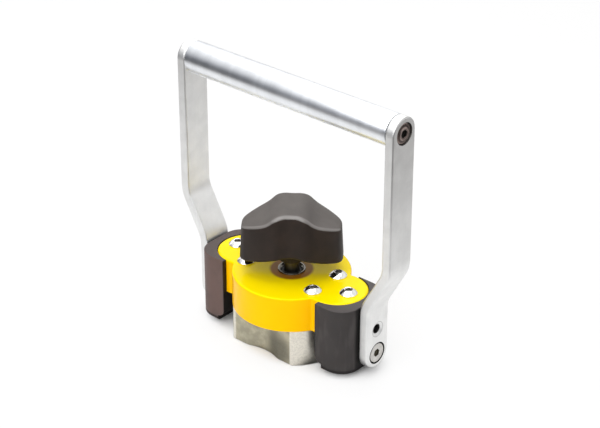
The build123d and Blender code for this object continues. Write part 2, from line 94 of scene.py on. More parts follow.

# Painted highlights and shade in bands on the flush screws' faces: inner and outer radius and how light
# they are
GRIP_SCREW_BANDS = ((3.9 * MM, 4.9 * MM, 1.9), (5.2 * MM, 6.4 * MM, 0.6), (7.3 * MM, 8.5 * MM, 1.8))
PIVOT_SCREW_BANDS = ((7.9 * MM, 9.0 * MM, 0.04),)

# Screws: the tip's lead, the shank, the edges' rounding, and a socket's mouth as a share of its width
SCREW_LEAD = 0.6 * MM
SHANK_RADIUS = 4.0 * MM
SCREW_EDGE = 0.10 * MM
SOCKET_MOUTH = 0.66

# Segments round a spun piece, and steps over a button head's dome
BUTTON_SEGMENTS = 60
FLUSH_SEGMENTS = 72
HUB_SEGMENTS = 96
DOME_STEPS = 12

# Axes that distances and directions are measured along
ALONG_X = (1, 0, 0)
ALONG_Y = (0, 1, 0)
ALONG_Z = (0, 0, 1)
ABOUT_X = (0, 1, 1)
ABOUT_Z = (1, 1, 0)
ALL_ROUND = (1, 1, 1)
ORIGIN = (0, 0, 0)

# Colours of marks and pieces that have no setting
WHITE = (1.0, 1.0, 1.0, 1.0)
WARM_TINT = (0.97, 0.95, 0.80)
# Brown of the painted shadow of the knob on the lid
KNOB_SHADOW_BROWN = (0.26, 0.075, 0.006, 1.0)
AMBER_SHEEN = (1.0, 0.80, 0.30, 1.0)
# Brown of the painted sheen on the left end block's front
LEFT_BLOCK_SHEEN = (0.125, 0.080, 0.070, 1.0)
# Grey of the painted sheen on the knob's upward faces
KNOB_TOP_SHEEN = (0.112, 0.100, 0.092, 1.0)
# Grey of the painted highlight along the knob's upper rims
RIM_HIGHLIGHT_GREY = (0.19, 0.175, 0.165, 1.0)
CAP_METAL = (0.66, 0.60, 0.44, 1.0)
SHAFT_STEEL = (0.13, 0.125, 0.12, 1.0)
SEAL_RUBBER = (0.018, 0.017, 0.016, 1.0)
# Darker copies of the screws' metals, painted shade inside their key sockets
PLATED_SOCKET = (0.32, 0.31, 0.29, 1.0)
GRIP_SOCKET = (0.03, 0.028, 0.025, 1.0)
PIVOT_SOCKET = (0.14, 0.125, 0.09, 1.0)
WASHER_NYLON = (0.06, 0.06, 0.06, 1.0)
BRONZE = (0.62, 0.56, 0.44, 1.0)
PLAIN_STEEL = (0.50, 0.49, 0.47, 1.0)
NICKEL = (0.66, 0.65, 0.62, 1.0)
SLIP_FILM = (0.70, 0.70, 0.66, 1.0)
LOCK_THREAD = (0.34, 0.34, 0.33, 1.0)

# Stage: rays that see it white, its floor, ovals as 1 over their half widths, its room and its light
RAY_KINDS = ("Camera", "Glossy", "Transmission")
FLOOR_SIZE = 4.0
FLOOR_DROP = 0.2 * MM
SHADOW_OVAL = (11.5, 26, 0)
UNDER_OVAL = (11.5, 29, 0)
ROOM_RADIUS = 2.2
CORNER_DARK = (0.03, 0.033, 0.04)
LIGHT_AIM = (0, 0, 0.1)


# Shader building


class Socket:
    """An output of a shader node. Arithmetic with it adds Math nodes."""

    def __init__(self, finish, output):
        self.finish = finish
        self.output = output

    def arithmetic(self, operation, *values):
        return self.finish.node("ShaderNodeMath", {"operation": operation}, dict(enumerate(values)))

    def __add__(self, other):
        return self.arithmetic("ADD", self, other)

    def __sub__(self, other):
        return self.arithmetic("SUBTRACT", self, other)

    def __rsub__(self, other):
        return self.arithmetic("SUBTRACT", other, self)

    def __mul__(self, other):
        return self.arithmetic("MULTIPLY", self, other)

    def __abs__(self):
        return self.arithmetic("ABSOLUTE", self)

    def at_least(self, other):
        return self.arithmetic("MAXIMUM", self, other)

    __radd__ = __add__
    __rmul__ = __mul__


class Finish:
    """A material or world being built from nodes, on Object coordinates."""

    def __init__(self, name, kind=bpy.data.materials):
        self.material = kind.new(name)
        self.material.use_nodes = True
        self.tree = self.material.node_tree
        self.tree.nodes.clear()

    def node(self, kind, settings, sockets, output=0):
        """Adds a node: first its settings, then the values or links of its sockets."""
        node = self.tree.nodes.new(kind)
        for name, value in settings.items():
            setattr(node, name, value)
        for key, value in sockets.items():
            if isinstance(value, Socket):
                self.tree.links.new(value.output, node.inputs[key])
            else:
                node.inputs[key].default_value = value
        return Socket(self, node.outputs[output]) if node.outputs else None

    def place(self, scale=ALL_ROUND, centre=ORIGIN):
        """Object coordinates about a centre, stretched by a scale."""
        raw = self.node("ShaderNodeTexCoord", {}, {}, "Object")
        offset = [-c * s for c, s in zip(centre, scale)]
        return self.node("ShaderNodeMapping", {}, {"Vector": raw, "Location": offset, "Scale": scale})

    def noise(self, size, detail=2.0, stretch=ALL_ROUND):
        """Noise with features of a size in metres, drawn out along an axis by a stretch above 1."""
        scale = [1 / (size * s) for s in stretch]
        sockets = {"Vector": self.place(scale), "Scale": 1.0, "Detail": detail, "Roughness": 0.5}
        return self.node("ShaderNodeTexNoise", {}, sockets)

    def rings(self, size, reach):
        """Turned rings of a pitch in metres, from the distance to an axis."""
        settings = {"noise_dimensions": "1D"}
        return self.node("ShaderNodeTexNoise", settings, {"W": reach, "Scale": 1 / size, "Detail": 2.0})

    def reach(self, scale, centre=ORIGIN):
        """Distance from a centre, measured along the axes whose scale isn't 0."""
        place = self.place(scale, centre)
        return self.node("ShaderNodeVectorMath", {"operation": "LENGTH"}, {0: place}, "Value")

    def dot(self, first, second):
        """Dot product of two vectors."""
        settings = {"operation": "DOT_PRODUCT"}
        return self.node("ShaderNodeVectorMath", settings, {0: first, 1: second}, "Value")

    def facing(self, direction):
        """How far the surface looks along a direction, from -1 to 1."""
        return self.dot(self.node("ShaderNodeNewGeometry", {}, {}, "Normal"), direction)

    def spread(self, value, low, high, to_low=0.0, to_high=1.0):
        """Maps a range of values onto another, smoothly and held at its ends."""
        sockets = dict(enumerate((value, low, high, to_low, to_high)))
        return self.node("ShaderNodeMapRange", {"interpolation_type": "SMOOTHSTEP"}, sockets)

    def mix(self, factor, first, second):
        """Mixes two colours."""
        return self.node("ShaderNodeMix", {"data_type": "RGBA"}, {0: factor, 6: first, 7: second}, 2)

    def edges(self, radius):
        """1 along the piece's edges and 0 on its open faces."""
        soft = self.node("ShaderNodeBevel", {"samples": 6}, {"Radius": radius})
        return self.spread(1 - self.facing(soft), 0.02, 0.25)

    def bump(self, height, depth):
        """A bump whose full height is a depth in metres."""
        return self.node("ShaderNodeBump", {}, {"Height": height, "Distance": depth, "Strength": 1.0})

    def seen(self):
        """1 for rays from the camera, a reflection or a clear piece, 0 for those that light a surface."""
        rays = [self.node("ShaderNodeLightPath", {}, {}, f"Is {kind} Ray") for kind in RAY_KINDS]
        return rays[0].at_least(rays[1]).at_least(rays[2])

    def blend(self, factor, first, second, output="ShaderNodeOutputMaterial"):
        """Ends the material in a mix of two shaders."""
        mixed = self.node("ShaderNodeMixShader", {}, {0: factor, 1: first, 2: second})
        self.node(output, {}, {"Surface": mixed})
        return self.material

    def surface(self, **sockets):
        """Ends the material in a Principled shader; names use underscores for spaces."""
        named = {name.replace("_", " "): value for name, value in sockets.items()}
        shader = self.node("ShaderNodeBsdfPrincipled", {}, named)
        self.node("ShaderNodeOutputMaterial", {}, {"Surface": shader})
        return self.material


def shade(colour, amount):
    """A colour made lighter or darker, with its alpha."""
    return [c * amount for c in colour[:3]] + [1.0]


def ground_steel(colour):
    """Bare steel: turned bright on its round sides, ground dull on its flats, with bright edges and a
    painted dark reflection on the front flat.
    """
    f = Finish("ground_steel")
    turned = f.spread(f.reach(ABOUT_Z), BODY_RADIUS - 2 * MM, BODY_RADIUS - 1 * MM)
    warm = [c * t for c, t in zip(colour, WARM_TINT)]
    clouds = f.noise(9 * MM, 4.0)
    grain = f.noise(1.6 * MM, 3.0)
    specks = f.noise(0.7 * MM, 3.0)
    marks = f.noise(0.35 * MM, 2.0, (1, 1, 40))
    tone = f.mix(f.spread(clouds, 0.32, 0.68), shade(warm, 0.76), shade(warm, 1.15))
    tone = f.mix(turned * 0.9, tone, shade(colour, 1.6))
    # Painted dark reflection of the left block, darkening the ground front flat there
    steel_dark_reflection = 1 - f.spread(f.reach(ALL_ROUND, DARK_REFLECTION_PLACE), 5 * MM, 20 * MM)
    tone = f.mix(steel_dark_reflection * (1 - turned) * 0.95, tone, shade(warm, 0.36))
    tone = f.mix(f.spread(grain, 0.35, 0.7) * 0.22, tone, shade(colour, 0.6))
    tone = f.mix(f.spread(specks, 0.52, 0.78) * 0.35, tone, shade(colour, 0.55))
    tone = f.mix(f.edges(0.8 * MM) * 0.5, tone, shade(colour, 1.35))
    rough = 0.42 + 0.16 * clouds + 0.10 * marks - 0.16 * turned
    normal = f.bump(marks * 0.6 + specks * 0.4, 0.025 * MM)
    return f.surface(Base_Color=tone, Metallic=1.0, Roughness=rough, Normal=normal)


def gloss_enamel(colour, side_shade_tone):
    """Gloss enamel: faint orange peel, painted shade deepening the upright sides, a painted shadow of the
    knob round the shaft.
    """
    f = Finish("gloss_enamel")
    peel = f.noise(3.2 * MM, 2.0)
    clouds = f.noise(28 * MM, 3.0)
    dust = f.noise(0.6 * MM, 2.0)
    # Painted shade: the upright sides take a deeper copy of the enamel, as if less lit
    side_shade_mask = 1 - f.spread(f.facing(ALONG_Z), 0.2, 0.8)
    tone = f.mix(side_shade_mask, colour, side_shade_tone)
    tone = f.mix(f.spread(clouds, 0.35, 0.7) * 0.10, tone, shade(colour, 0.88))
    tone = f.mix(f.spread(dust, 0.70, 0.80) * 0.12, tone, shade(colour, 0.70))
    # Painted shadow of the knob: a brown disc on the lid round the shaft
    knob_shadow = f.spread(f.reach(ABOUT_Z), KNOB_SHADOW_RADIUS + 3 * MM, KNOB_SHADOW_RADIUS)
    tone = f.mix(knob_shadow * f.spread(clouds, 0.3, 0.6, 0.85, 0.95), tone, KNOB_SHADOW_BROWN)
    rough = 0.16 + 0.10 * clouds
    normal = f.bump(peel, 0.02 * MM)
    return f.surface(
        Base_Color=tone, Roughness=rough, Specular_IOR_Level=0.12, Specular_Tint=AMBER_SHEEN,
        Normal=normal,
    )


def block_coat(colour):
    """Dark satin coating: rub marks, tops lightened by painted light, a painted brown sheen on the left
    block, painted shade along the foot and black painted shade where hidden.
    """
    f = Finish("block_coat")
    tooth = f.noise(0.45 * MM, 2.0)
    rubs = f.noise(5 * MM, 3.0, (1, 1, 5))
    clouds = f.noise(20 * MM, 2.0)
    tone = f.mix(f.spread(rubs, 0.48, 0.70) * 0.6, colour, shade(colour, 1.7))
    tone = f.mix(f.spread(clouds, 0.35, 0.7) * 0.4, tone, shade(colour, 0.75))
    # Painted light: faces that look up are lightened as if lit from above
    up = f.spread(f.facing(ALONG_Z), 0.4, 0.8)
    tone = f.mix(up * 0.6, tone, shade(colour, 2.4))
    # Painted sheen: the left block's front and top take a lighter brown reflection
    left = f.spread(f.dot(f.place(), ALONG_X), MM, -MM)
    front = f.spread(f.facing(ALONG_Y), -0.35, -0.8) + up * 0.3
    tone = f.mix(left * front * f.spread(clouds, 0.2, 0.5, 0.7, 1.0), tone, LEFT_BLOCK_SHEEN)
    tone = f.mix(f.edges(0.7 * MM) * 0.5, tone, shade(colour, 3.0))
    # Painted shade: black where the block hides against the body and against the arm
    along = f.reach(ALONG_X)
    past_body = f.spread(along, BLOCK_LOW.x + 0.2 * MM, BLOCK_LOW.x + 1.1 * MM)
    before_arm = f.spread(along, BLOCK_HIGH.x - 0.15 * MM, BLOCK_HIGH.x - 0.75 * MM)
    # Painted shade: a dark band along the block's foot
    foot = f.spread(f.reach(ALONG_Z), BLOCK_LOW.z + 4.1 * MM, BLOCK_LOW.z + 3.2 * MM)
    tone = f.mix(foot * 0.8, tone, shade(colour, 0.15))
    tone = f.mix((1 - past_body * before_arm) * 0.85, tone, shade(colour, 0.15))
    rough = 0.42 + 0.14 * tooth + 0.08 * clouds
    normal = f.bump(tooth, 0.03 * MM)
    return f.surface(Base_Color=tone, Roughness=rough, Specular_IOR_Level=0.2, Normal=normal)


def moulded_plastic(colour):
    """Matte moulded plastic: fine spark grain, upper rims rubbed glossy by hands with a painted
    highlight, a painted grey sheen on top.
    """
    f = Finish("moulded_plastic")
    grain = f.noise(0.55 * MM, 2.0)
    clouds = f.noise(12 * MM, 3.0)
    tone = f.mix(f.spread(clouds, 0.35, 0.7), shade(colour, 0.85), shade(colour, 1.25))
    tone = f.mix(f.spread(grain, 0.55, 0.8) * 0.5, tone, shade(colour, 1.6))
    up = f.facing(ALONG_Z)
    # Painted sheen: the knob's upward faces turn lighter grey
    knob_top_sheen = f.spread(up, 0.35, 0.66) * f.spread(clouds, 0.2, 0.8, 0.75, 1.0)
    tone = f.mix(knob_top_sheen, tone, KNOB_TOP_SHEEN)
    # Upper rims: a real glossy coat, with a painted highlight lightening their colour
    rim_gloss_and_highlight = f.spread(up, 0.15, 0.40) * f.spread(abs(f.facing(KNOB_SIDE)), 0.10, 0.35)
    tone = f.mix(rim_gloss_and_highlight * 0.8, tone, RIM_HIGHLIGHT_GREY)
    rough = 0.48 + 0.10 * clouds
    normal = f.bump(grain, 0.045 * MM)
    return f.surface(
        Base_Color=tone, Roughness=rough, Specular_IOR_Level=0.28, Coat_Weight=rim_gloss_and_highlight,
        Coat_Roughness=0.2, Normal=normal,
    )


def drawn_aluminium(colour):
    """Flat bar stock: drawing lines, handling marks, scuffs, a painted dark reflection on the upper
    edges, painted shade in the holes and round the lock hole's countersink.
    """
    f = Finish("drawn_aluminium")
    lines = f.noise(0.3 * MM, 3.0, (1, 1, 120))
    clouds = f.noise(14 * MM, 4.0)
    pits = f.noise(0.9 * MM, 2.0)
    scuffs = f.noise(2.2 * MM, 2.0, (1, 3, 0.6))
    tone = f.mix(f.spread(clouds, 0.3, 0.7), shade(colour, 0.93), shade(colour, 1.05))
    tone = f.mix(f.spread(lines, 0.35, 0.65) * 0.25, tone, shade(colour, 0.88))
    tone = f.mix(f.spread(pits, 0.66, 0.80) * 0.35, tone, shade(colour, 0.70))
    tone = f.mix(f.spread(scuffs, 0.70, 0.80) * 0.3, tone, shade(colour, 0.78))
    # Painted shade: a dark line round the rim of the lock hole's countersink
    sink = f.reach(ABOUT_X, (0, 0, LOCK_Z))
    within = f.spread(sink, LOCK_SINK_RADIUS - 0.4 * MM, LOCK_SINK_RADIUS)
    without = f.spread(sink, LOCK_SINK_RADIUS + 0.5 * MM, LOCK_SINK_RADIUS + 0.1 * MM)
    tone = f.mix(within * without * 0.6, tone, shade(colour, 0.35))
    # Painted dark reflection on the arms' rounded upper edges
    across = abs(f.facing(ALONG_X))
    rounded = f.spread(across, 0.25, 0.5) * f.spread(across, 0.92, 0.72)
    edge_reflection_shade = rounded * f.spread(f.reach(ALONG_Z), 120 * MM, 200 * MM)
    tone = f.mix(edge_reflection_shade * 0.6, tone, shade(colour, 0.3))
    # Painted shade: the walls of the holes are darkened
    for height, radius, grey in ARM_HOLES:
        inside = f.spread(f.reach(ABOUT_X, (0, 0, height)), radius, radius - 0.1 * MM)
        tone = f.mix(inside, tone, (grey, grey, 0.95 * grey, 1.0))
    rough = 0.36 + 0.12 * clouds + 0.06 * lines
    normal = f.bump(lines * 0.7 + pits * 0.3, 0.012 * MM)
    return f.surface(Base_Color=tone, Metallic=1.0, Roughness=rough, Normal=normal)


def turned_aluminium(colour):
    """Tube skimmed on a lathe: fine rings along its length under a satin skin, dull underneath."""
    f = Finish("turned_aluminium")
    rings = f.noise(0.45 * MM, 3.0, (1, 400, 400))
    bands = f.noise(7 * MM, 2.0, (1, 60, 60))
    clouds = f.noise(18 * MM, 3.0)
    tone = f.mix(f.spread(bands, 0.3, 0.7), shade(colour, 0.95), shade(colour, 1.04))
    tone = f.mix(f.spread(rings, 0.4, 0.7) * 0.2, tone, shade(colour, 0.86))
    under = f.spread(f.reach(ALONG_Z), GRIP_Z - 6 * MM, GRIP_LOW.z + 2 * MM)
    rough = 0.27 + 0.06 * clouds + 0.05 * bands + 0.45 * under
    normal = f.bump(rings, 0.006 * MM)
    return f.surface(Base_Color=tone, Metallic=1 - 0.55 * under, Roughness=rough, Normal=normal)


def bright_plate(colour):
    """Bright plated screw heads: nearly a mirror, with hairline scratches and dull specks."""
    f = Finish("bright_plate")
    haze = f.noise(2.5 * MM, 3.0)
    hair = f.noise(0.12 * MM, 2.0, (1, 8, 1))
    tone = f.mix(f.spread(haze, 0.35, 0.7), shade(colour, 0.94), shade(colour, 1.03))
    rough = 0.07 + 0.08 * haze + 0.05 * hair
    normal = f.bump(hair, 0.002 * MM)
    return f.surface(Base_Color=tone, Metallic=1.0, Roughness=rough, Normal=normal)


def faced_steel(name, colour, centre, around, roughness, bands=()):
    """Steel faced on a lathe: rings about its axis, a cloudy film, rubbed edges and bands of painted
    highlight and shade.
    """
    f = Finish(name)
    reach = f.reach(around, centre)
    rings = f.rings(0.25 * MM, reach)
    clouds = f.noise(4 * MM, 3.0)
    tone = f.mix(f.spread(clouds, 0.3, 0.7), shade(colour, 0.86), shade(colour, 1.10))
    tone = f.mix(f.spread(rings, 0.4, 0.7) * 0.3, tone, shade(colour, 0.72))
    tone = f.mix(f.edges(0.3 * MM) * 0.4, tone, shade(colour, 1.4))
    fade = 0.15 * MM
    # Painted bands: lighter ones are highlights, darker ones the shade in grooves and gaps
    for low, high, amount in bands:
        inside = f.spread(reach, low - fade, low) * f.spread(reach, high + fade, high)
        tone = f.mix(inside, tone, shade(colour, amount))
    rough = roughness + 0.10 * clouds + 0.06 * rings
    normal = f.bump(rings, 0.006 * MM)
    return f.surface(Base_Color=tone, Metallic=1.0, Roughness=rough, Normal=normal)


def plain_metal(name, colour, roughness):
    """Machined metal of an inner piece: fine tool marks and a cloudy film."""
    f = Finish(name)
    marks = f.noise(0.4 * MM, 2.0, (12, 12, 1))
    clouds = f.noise(6 * MM, 3.0)
    tone = f.mix(f.spread(clouds, 0.3, 0.7), shade(colour, 0.86), shade(colour, 1.08))
    rough = roughness + 0.12 * clouds + 0.06 * marks
    normal = f.bump(marks, 0.008 * MM)
    return f.surface(Base_Color=tone, Metallic=1.0, Roughness=rough, Normal=normal)


def dull_polymer(name, colour, roughness):
    """Rubber, nylon or film of an inner piece: fine tooth and a dusty cloud."""
    f = Finish(name)
    tooth = f.noise(0.3 * MM, 2.0)
    dust = f.noise(3 * MM, 3.0)
    tone = f.mix(f.spread(dust, 0.4, 0.75) * 0.6, colour, shade(colour, 1.5))
    rough = roughness + 0.12 * dust
    normal = f.bump(tooth, 0.01 * MM)
    return f.surface(Base_Color=tone, Roughness=rough, Normal=normal)


# Modelling


def only(kind, geometry):
    """The vertices, edges or faces in a list of geometry."""
    return [g for g in geometry if isinstance(g, kind)]


def once(geometry):
    """Geometry in its order, without repeats."""
    return list(dict.fromkeys(geometry))


def round_edges(bm, width):
    """Rounds every sharp edge a little, so that it catches the light."""
    sharp = [e for e in bm.edges if len(e.link_faces) == 2 and e.calc_face_angle(0.0) > radians(32)]
    bmesh.ops.bevel(
        bm, geom=sharp, offset=width, offset_type="OFFSET", segments=3,
        profile=0.5, affect="EDGES", material=-1, clamp_overlap=True,
    )


def spin_profile(bm, profile, segments):
    """Spins a profile of (radius, height) points about the Z axis."""
    verts = [bm.verts.new((r, 0, z)) for r, z in profile]
    edges = [bm.edges.new(pair) for pair in zip(verts, verts[1:])]
    bmesh.ops.spin(
        bm, geom=verts + edges, cent=ORIGIN, axis=ALONG_Z, angle=tau, steps=segments,
        use_merge=True, use_duplicate=False,
    )
    bmesh.ops.remove_doubles(bm, verts=bm.verts[:], dist=1e-7)
    bmesh.ops.dissolve_degenerate(bm, edges=bm.edges[:], dist=1e-7)


def open_rim(bm, height):
    """The open edges of a spun shape at a height."""
    return [e for e in bm.edges if e.is_boundary and all(abs(v.co.z - height) < 1e-6 for v in e.verts)]


def key_socket(bm, rim, across, mouth, depth, per_side):
    """A hexagon socket under an open round rim, with a bevelled mouth and a drilled floor."""
    ring = bmesh.ops.create_circle(bm, segments=6, radius=across / sqrt(3))["verts"]
    bmesh.ops.translate(bm, verts=ring, vec=(0, 0, mouth))
    sides = once(e for v in ring for e in v.link_edges)
    cut = bmesh.ops.subdivide_edges(bm, edges=sides, cuts=per_side - 1)["geom"]
    sides = once(only(BMEdge, cut) + [e for e in sides if e.is_valid])
    bmesh.ops.bridge_loops(bm, edges=rim + sides)
    walls = bmesh.ops.extrude_edge_only(bm, edges=sides)["geom"]
    floor = only(BMVert, walls)
    bmesh.ops.translate(bm, verts=floor, vec=(0, 0, -depth))
    around = [e for e in only(BMEdge, walls) if all(v in floor for v in e.verts)]
    face = bmesh.ops.contextual_create(bm, geom=around)["faces"]
    rest = bmesh.ops.inset_region(bm, faces=face, thickness=across * 0.12)["faces"]
    bmesh.ops.translate(bm, verts=face[0].verts[:], vec=(0, 0, -across * 0.08))
    # Inner faces take the screw's second material, painted shade inside the socket
    for inner in face + rest + only(BMFace, walls):
        inner.material_index = 1


def settle(bm):
    """Merges doubles and turns every face outwards."""
    bmesh.ops.remove_doubles(bm, verts=bm.verts[:], dist=1e-7)
    bmesh.ops.recalc_face_normals(bm, faces=bm.faces[:])


def turned_ring(profile, segments, edge):
    """A ring spun from the corners of its section, with rounded edges."""
    bm = bmesh.new()
    spin_profile(bm, profile + profile[:1], segments)
    settle(bm)
    round_edges(bm, edge)
    return bm


def socket_screw(profile, segments, across, chamfer, depth):
    """A screw spun from a profile that ends at the mouth of its key socket."""
    bm = bmesh.new()
    spin_profile(bm, profile, segments)
    top = profile[-1][1]
    key_socket(bm, open_rim(bm, top), across, top - chamfer, depth, segments // 6)
    settle(bm)
    round_edges(bm, SCREW_EDGE)
    return bm


def screw_tip(radius, tip):
    """Points of a shank's tip with its lead."""
    return [(0, tip), (radius - SCREW_LEAD, tip), (radius, tip + SCREW_LEAD)]


def dome_profile(radius, rim, height, mouth, steps):
    """Points of a screw's domed head, from its seat to the mouth of its socket."""
    rise = height - rim
    crown = (radius**2 + rise**2) / (2 * rise)
    low, high = atan(radius / (crown - rise)), atan(mouth / sqrt(crown**2 - mouth**2))
    angles = [low + (high - low) * i / steps for i in range(steps + 1)]
    return [(radius, 0)] + [(crown * sin(a), height - crown + crown * cos(a)) for a in angles]


def copies(bm, places):
    """Repeats a shape at each of several transforms, and drops the first."""
    first = bm.verts[:] + bm.edges[:] + bm.faces[:]
    for place in places:
        made = bmesh.ops.duplicate(bm, geom=first)["geom"]
        bmesh.ops.transform(bm, matrix=place, verts=only(BMVert, made))
    bmesh.ops.delete(bm, geom=only(BMVert, first), context="VERTS")


def on_lid(x, y, turn):
    """The place of a screw on the lid, turned by degrees about its axis."""
    return Matrix.Translation((x, y, LID_TOP)) @ Matrix.Rotation(radians(turn), 4, "Z")


def at_end(x, height, turn=0):
    """The place of a shape drawn along +Z that faces out along X, turned by degrees about its axis."""
    outwards = Matrix.Rotation(pi / 2 if x >= 0 else -pi / 2, 4, "Y")
    return Matrix.Translation((x, 0, height)) @ outwards @ Matrix.Rotation(radians(turn), 4, "Z")


def new_object(bm, name, materials):
    """Makes an object of a bmesh in the scene."""
    mesh = bpy.data.meshes.new(name)
    bm.to_mesh(mesh)
    bm.free()
    for finish in materials:
        mesh.materials.append(finish)
    made = bpy.data.objects.new(name, mesh)
    bpy.context.scene.collection.objects.link(made)
    return made


def finish_piece(bm, name, materials, body, slot, *stands_for):
    """Makes a smooth piece of a bmesh, rides it on a body and hides the CAD nodes it stands for."""
    piece = new_object(bm, name, materials)
    for polygon in piece.data.polygons:
        polygon.use_smooth = True
    piece.data.set_sharp_from_angle(angle=radians(40))
    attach(piece, body)
    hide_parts(*stands_for)


def coat(material, *nodes):
    """Gives CAD nodes a finish."""
    for name in nodes:
        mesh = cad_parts[name].data
        mesh.materials.clear()
        mesh.materials.append(material)


# Settings


def colour_setting(name, description, red, green, blue):
    return FloatVectorProperty(
        name=name, description=description, subtype="COLOR", size=4, default=(red, green, blue, 1.0),
        min=0.0, max=1.0,
    )


def length_setting(name, description, default):
    return FloatProperty(name=name, description=description, unit="LENGTH", default=default, min=0.0)


def angle_setting(name, description, degrees):
    return FloatProperty(name=name, description=description, subtype="ANGLE", default=radians(degrees))


def light_setting(name, description, default):
    return FloatProperty(name=name, description=description, default=default, min=0.0)


class LidSettings(bpy.types.PropertyGroup):
    """Yellow lid and its screws."""

    colour: colour_setting("Enamel", "Colour of the lid's enamel", 1.0, 0.755, 0.0)
    # Painted shade: a deeper copy of the enamel for the lid's upright sides
    side_shade_colour: colour_setting(
        "Enamel of the sides", "Deeper colour of the lid's upright sides", 1.0, 0.525, 0.0
    )
    plate_colour: colour_setting("Screw plating", "Colour of the bright screw heads", 0.80, 0.80, 0.80)
    head_rim: length_setting("Head rim", "Upright rim of a button head", 0.9 * MM)
    head_height: length_setting("Head height", "Height of a button head's dome", 4.4 * MM)
    head_radius: length_setting("Head radius", "Radius of a button head", LOBE_HIGH.x - LOBE_SCREW_X)
    socket: length_setting("Socket", "Width across the flats of a lid screw's socket", 5.0 * MM)
    socket_depth: length_setting("Socket depth", "Depth of a lid screw's socket", 2.4 * MM)
    socket_chamfer: length_setting("Socket chamfer", "Bevel at a lid screw's socket", 0.25 * MM)


class BodySettings(bpy.types.PropertyGroup):
    """Steel magnet body, end blocks and knob."""

    steel_colour: colour_setting("Steel", "Colour of the ground steel body", 0.53, 0.505, 0.45)
    block_colour: colour_setting("End blocks", "Colour of the end blocks' coating", 0.042, 0.037, 0.036)
    knob_colour: colour_setting("Knob", "Colour of the knob's plastic", 0.0165, 0.0095, 0.0062)
    hub_colour: colour_setting("Hub ring", "Colour of the ring round the shaft", 0.16, 0.15, 0.13)


class HandleSettings(bpy.types.PropertyGroup):
    """Arms, grip tube and their screws."""

    arm_colour: colour_setting("Arms", "Colour of the arms' aluminium", 0.83, 0.83, 0.82)
    grip_colour: colour_setting("Grip tube", "Colour of the grip tube's aluminium", 0.85, 0.87, 0.90)
    pivot_colour: colour_setting("Pivot screws", "Colour of the pivot screws' steel", 0.60, 0.58, 0.55)
    grip_screw_colour: colour_setting(
        "Grip screws", "Colour of the grip screws' dark steel", 0.21, 0.165, 0.15
    )
    tube_wall: length_setting("Tube wall", "Wall of the grip tube", 2.1 * MM)
    tube_segments: IntProperty(
        name="Tube segments", description="Segments round the grip tube", default=128, min=32,
    )
    socket: length_setting("Socket", "Width across the flats of the flush screws' sockets", 5.8 * MM)
    socket_depth: length_setting("Socket depth", "Depth of the flush screws' sockets", 2.0 * MM)
    socket_chamfer: length_setting("Socket chamfer", "Bevel at the flush screws' sockets", 0.3 * MM)


class StageSettings(bpy.types.PropertyGroup):
    """Floor, light and camera."""

    azimuth: angle_setting("Azimuth", "Camera's turn round the lifter", 40.944)
    elevation: angle_setting("Elevation", "Camera's angle above the horizon", 28.829)
    roll: angle_setting("Roll", "Camera's roll", 0.067)
    distance: length_setting("Distance", "Camera's distance from its target", 1.40335)
    target: FloatVectorProperty(
        name="Target", description="Point in the middle of the picture", subtype="TRANSLATION", size=3,
        default=(0.008415, 0.0, 0.1119),
    )
    lens: FloatProperty(name="Lens", description="Focal length in millimetres", default=110.17)
    floor_colour: colour_setting("Floor", "Colour of the floor", 0.9, 0.9, 0.9)
    sky_light: light_setting("Sky light", "Even light from all round", 0.34)
    top_light: light_setting("Top light", "Power of the soft box overhead, in watts", 17.5)
    back_light: light_setting("Back light", "Power of the soft box behind, in watts", 8.5)
    front_light: light_setting("Front light", "Power of the soft box in front, in watts", 27.5)


# Operators


class LIFTER_OT_pole_body(bpy.types.Operator):
    """Finish the steel magnet body and the cap in its pole face"""

    bl_idname = "lifter.pole_body"
    bl_label = "Magnet body"

    def execute(self, context):
        coat(ground_steel(context.scene.lifter_body.steel_colour), "pole_housing")
        coat(plain_metal("cap_metal", CAP_METAL, 0.30), "bottom_cap")
        return {"FINISHED"}


class LIFTER_OT_lid(bpy.types.Operator):
    """Finish the lid with its enamel"""

    bl_idname = "lifter.lid"
    bl_label = "Lid"

    def execute(self, context):
        settings = context.scene.lifter_lid
        coat(gloss_enamel(settings.colour, settings.side_shade_colour), "lid_casting")
        return {"FINISHED"}


class LIFTER_OT_lid_screws(bpy.types.Operator):
    """Model the six button head screws of the lid"""

    bl_idname = "lifter.lid_screws"
    bl_label = "Lid screws"

    def screw(self, settings, tip):
        """One screw with its head's seat on the origin plane."""
        mouth = settings.socket * SOCKET_MOUTH
        head = dome_profile(
            settings.head_radius, settings.head_rim, settings.head_height, mouth, DOME_STEPS,
        )
        profile = screw_tip(SHANK_RADIUS, tip) + [(SHANK_RADIUS, 0)] + head
        return socket_screw(
            profile, BUTTON_SEGMENTS, settings.socket, settings.socket_chamfer, settings.socket_depth,
        )

    def execute(self, context):
        settings = context.scene.lifter_lid
        plate = bright_plate(settings.plate_colour)
        # Second material: painted shade inside the sockets
        bore = plain_metal("plated_socket", PLATED_SOCKET, 0.25)
        x, y = RING_HIGH.x - settings.head_radius, RING_HIGH.y - settings.head_radius
        bm = self.screw(settings, RING_LOW.z - LID_TOP)
        copies(bm, [on_lid(x, y, 12), on_lid(x, -y, 41), on_lid(-x, y, 25), on_lid(-x, -y, 5)])
        finish_piece(bm, "lid_ring_screws", (plate, bore), "base", "button_chrome", "ring_screws")
        bm = self.screw(settings, LOBE_LOW.z - LID_TOP)
        x = LOBE_HIGH.x - settings.head_radius
        copies(bm, [on_lid(x, 0, 33), on_lid(-x, 0, 18)])
        finish_piece(bm, "lid_lobe_screws", (plate, bore), "base", "button_chrome", "lobe_screws")
        return {"FINISHED"}


